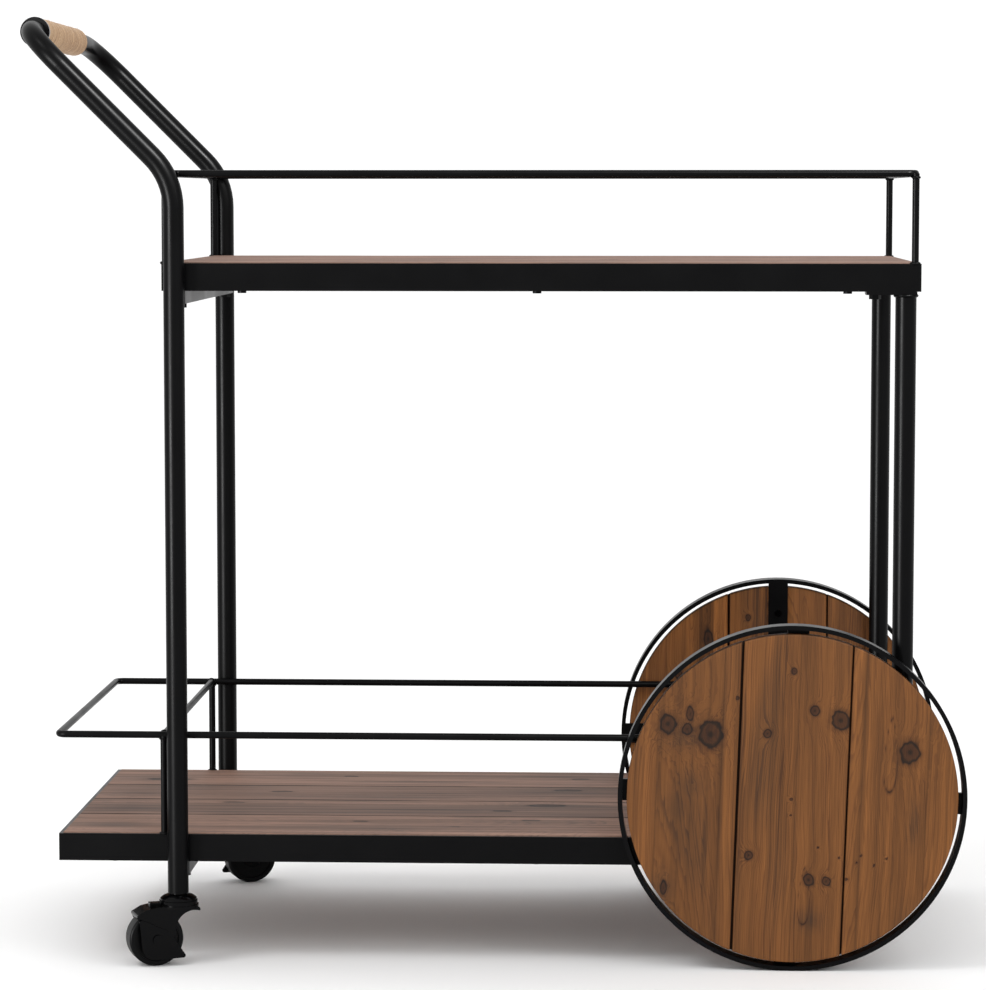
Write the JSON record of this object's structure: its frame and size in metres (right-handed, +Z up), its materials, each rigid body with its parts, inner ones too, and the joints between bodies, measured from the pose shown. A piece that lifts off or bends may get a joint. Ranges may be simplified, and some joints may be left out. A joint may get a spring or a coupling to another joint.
{
  "type": "bar cart",
  "caption": "Bar cart with a bent-tube push handle, plank shelves in steel frames with rod rails, large plank-disc wheels and braked swivel casters.",
  "frame": {"origin": "on the floor under the middle of the cart's box", "axes": "+X towards the big wheels, +Y to the far side, +Z up; the handle is at the -X end"},
  "size_m": [0.8635, 0.4364, 0.863],
  "materials": {
    "black_powder_coat": "fine-textured satin powder coat",
    "shelf_wood": "sawn grey-brown reclaimed softwood, matt",
    "wheel_wood": "warm brown reclaimed softwood, matt",
    "jute_twine": "natural jute twine, wound tight",
    "black_plastic": "gloss black",
    "black_rubber": "hard black rubber",
    "caster_black_steel": "gloss black lacquered pressed steel",
    "zinc_steel": "zinc plated"
  },
  "bodies": {
    "cart_frame": {"handle_frame": "black_powder_coat", "grip_sleeve": "black_plastic", "grip_wrap": "jute_twine", "upper_frame": "black_powder_coat", "lower_frame": "black_powder_coat", "upper_rail": "black_powder_coat", "lower_rail": "black_powder_coat", "lower_end_rod": "black_powder_coat", "upper_cross_bar": "black_powder_coat", "lower_cross_bar": "black_powder_coat", "near_wheel_leg": "black_powder_coat", "far_wheel_leg": "black_powder_coat", "near_axle_plate": "black_powder_coat", "far_axle_plate": "black_powder_coat", "near_axle": "zinc_steel", "far_axle": "zinc_steel", "axle_washers": "zinc_steel", "shelf_screws": "black_powder_coat", "cross_bar_bolts": "black_powder_coat", "leg_plate_bolts": "black_powder_coat", "near_caster_stem": "caster_black_steel", "far_caster_stem": "caster_black_steel", "upper_board_1": "shelf_wood", "upper_board_2": "shelf_wood", "upper_board_3": "shelf_wood", "upper_board_4": "shelf_wood", "lower_board_1": "shelf_wood", "lower_board_2": "shelf_wood", "lower_board_3": "shelf_wood", "lower_board_4": "shelf_wood"},
    "near_wheel": {"near_wheel_rim": "black_powder_coat", "near_wheel_board_1": "wheel_wood", "near_wheel_board_2": "wheel_wood", "near_wheel_board_3": "wheel_wood", "near_wheel_screws": "zinc_steel"},
    "near_caster_yoke": {"near_caster_fork": "caster_black_steel", "near_caster_axle": "caster_black_steel"},
    "near_caster_roller": {"near_caster_tread": "black_rubber", "near_caster_hub": "black_plastic"},
    "near_caster_lever": {"near_caster_brake": "caster_black_steel"},
    "far_wheel": {"far_wheel_rim": "black_powder_coat", "far_wheel_board_1": "wheel_wood", "far_wheel_board_2": "wheel_wood", "far_wheel_board_3": "wheel_wood", "far_wheel_screws": "zinc_steel"},
    "far_caster_yoke": {"far_caster_fork": "caster_black_steel", "far_caster_axle": "caster_black_steel"},
    "far_caster_roller": {"far_caster_tread": "black_rubber", "far_caster_hub": "black_plastic"},
    "far_caster_lever": {"far_caster_brake": "caster_black_steel"}
  },
  "joints": [
    {"name": "near_wheel_spin", "type": "hinge", "parent": "cart_frame", "child": "near_wheel", "pos_m": [0.275, -0.19, 0.1575], "axis": [0, 1, 0], "continuous": true},
    {"name": "near_caster_swivel", "type": "hinge", "parent": "cart_frame", "child": "near_caster_yoke", "pos_m": [-0.284, -0.19, 0.0585], "axis": [0, 0, 1], "continuous": true},
    {"name": "near_caster_roll", "type": "hinge", "parent": "near_caster_yoke", "child": "near_caster_roller", "pos_m": [-0.30502, -0.19803, 0.025], "axis": [0.3567, -0.9342, 0], "continuous": true},
    {"name": "near_brake_press", "type": "hinge", "parent": "near_caster_yoke", "child": "near_caster_lever", "pos_m": [-0.30502, -0.19803, 0.025], "axis": [0.3567, -0.9342, 0], "range_deg": [0, 20]},
    {"name": "far_wheel_spin", "type": "hinge", "parent": "cart_frame", "child": "far_wheel", "pos_m": [0.275, 0.19, 0.1575], "axis": [0, 1, 0], "continuous": true},
    {"name": "far_caster_swivel", "type": "hinge", "parent": "cart_frame", "child": "far_caster_yoke", "pos_m": [-0.284, 0.19, 0.0585], "axis": [0, 0, 1], "continuous": true},
    {"name": "far_caster_roll", "type": "hinge", "parent": "far_caster_yoke", "child": "far_caster_roller", "pos_m": [-0.26298, 0.19803, 0.025], "axis": [-0.3567, 0.9342, 0], "continuous": true},
    {"name": "far_brake_press", "type": "hinge", "parent": "far_caster_yoke", "child": "far_caster_lever", "pos_m": [-0.26298, 0.19803, 0.025], "axis": [-0.3567, 0.9342, 0], "range_deg": [0, 20]}
  ]
}
